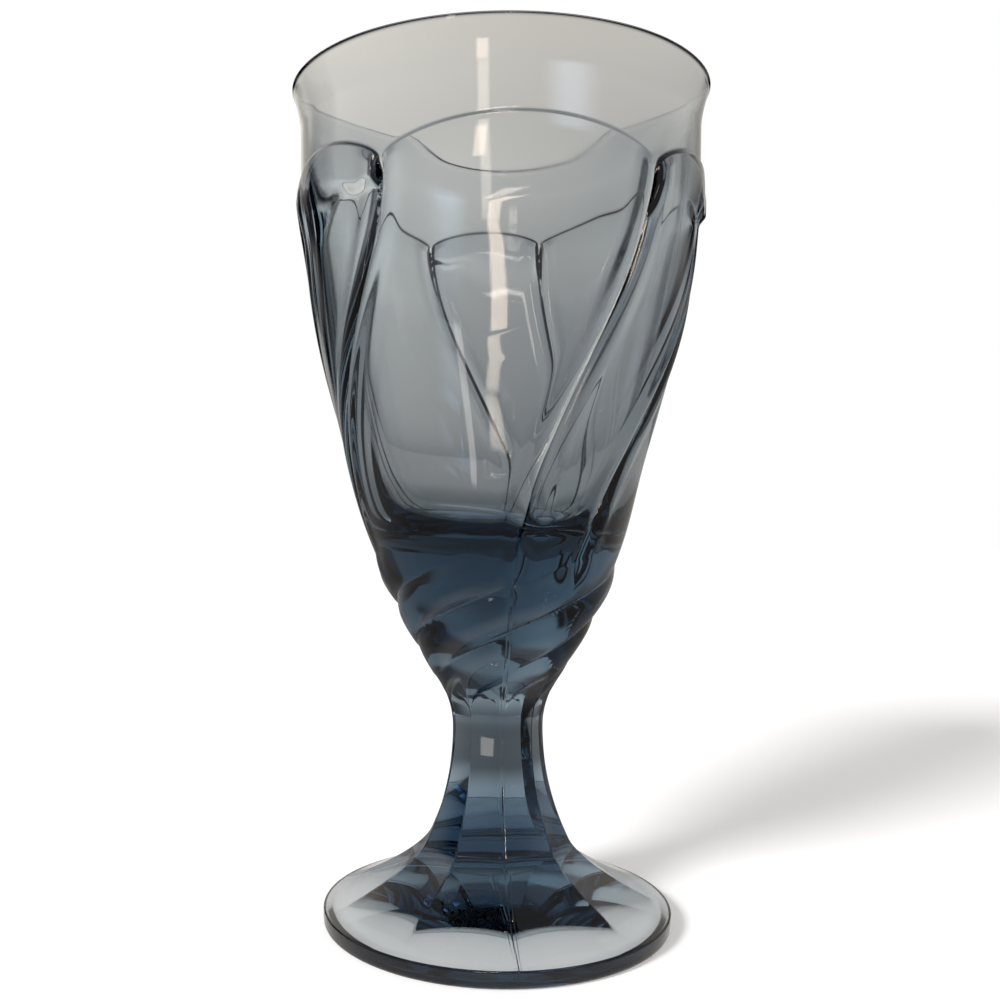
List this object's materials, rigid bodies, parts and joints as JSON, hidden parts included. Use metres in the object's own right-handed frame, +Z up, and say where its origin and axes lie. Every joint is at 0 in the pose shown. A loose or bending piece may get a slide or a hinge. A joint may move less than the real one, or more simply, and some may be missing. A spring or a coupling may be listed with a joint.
{
  "type": "water goblet",
  "caption": "Footed drinking glass of dusk-blue pressed glass: bowl wrapped in swirled petals, fluted stem and round foot.",
  "frame": {"origin": "centre of the ring that the foot stands on, on the table", "axes": "+Z up along the axis of the goblet, towards the rim; -Y towards the front of the picture; +X to its right"},
  "size_m": [0.0876, 0.0874, 0.174],
  "materials": {
    "bowl_glass": "fire-polished pressed glass, smoky dusk blue",
    "stem_glass": "fire-polished pressed glass, solid and darker blue",
    "foot_glass": "fire-polished pressed glass, smoky dusk blue"
  },
  "bodies": {
    "root": {"bowl": "bowl_glass", "stem": "stem_glass", "foot": "foot_glass"}
  },
  "joints": []
}
